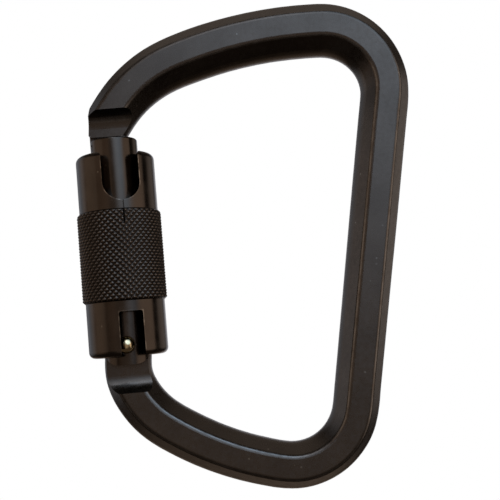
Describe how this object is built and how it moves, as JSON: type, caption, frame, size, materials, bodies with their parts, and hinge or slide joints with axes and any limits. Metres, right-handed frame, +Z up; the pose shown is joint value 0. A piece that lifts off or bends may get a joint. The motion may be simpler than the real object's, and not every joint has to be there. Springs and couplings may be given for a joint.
{
  "type": "locking carabiner",
  "caption": "Large offset-D locking carabiner with a forged bar, a sprung gate and a knurled sleeve that is lifted and turned to unlock the gate.",
  "frame": {"origin": "inside of the upper bow at its crown, where the carabiner hangs", "axes": "+Z up along the load line, +X from the gate to the spine, +Y through the thickness of the bar, away from the side with the sleeve's cuts"},
  "size_m": [0.0812, 0.0194, 0.1177],
  "materials": {
    "forged_black": "satin black anodised",
    "turned_black": "gloss black anodised",
    "rivet_steel": "polished stainless steel",
    "spring_steel": "bright spring wire",
    "seat_polymer": "moulded acetal"
  },
  "bodies": {
    "frame": {"forged_body": "forged_black"},
    "gate": {"gate_barrel": "turned_black", "hinge_rivet": "rivet_steel", "gate_spring": "spring_steel", "spring_collar": "spring_steel", "key_pin": "spring_steel", "retaining_ring": "spring_steel"},
    "plunger": {"gate_plunger": "spring_steel"},
    "sleeve_slide": {"spring_seat": "seat_polymer", "sleeve_spring": "spring_steel"},
    "sleeve": {"locking_sleeve": "turned_black"}
  },
  "joints": [
    {"name": "gate_open", "type": "hinge", "parent": "frame", "child": "gate", "pos_m": [-0.04667, 0, -0.07068], "axis": [0, 1, 0], "range_deg": [0, 25], "stiffness_Nm_per_rad": 0.3, "springref_deg": -28.65},
    {"name": "plunger_push", "type": "slide", "parent": "gate", "child": "plunger", "axis": [-0.0853, 0, 0.9964], "range_m": [0, 0.001], "deforming": ["gate_spring"]},
    {"name": "sleeve_lift", "type": "slide", "parent": "gate", "child": "sleeve_slide", "axis": [-0.0853, 0, 0.9964], "range_m": [0, 0.0042], "stiffness_N_per_m": 400, "springref_m": -0.008, "deforming": ["sleeve_spring"]},
    {"name": "sleeve_turn", "type": "hinge", "parent": "sleeve_slide", "child": "sleeve", "pos_m": [-0.04667, 0, -0.07068], "axis": [0.0853, 0, -0.9964], "range_deg": [0, 100], "stiffness_Nm_per_rad": 0.02, "springref_deg": -45.84}
  ],
  "couplings": [
    {"joint": "plunger_push", "follows": "gate_open", "m_per_rad": 0.0022}
  ]
}
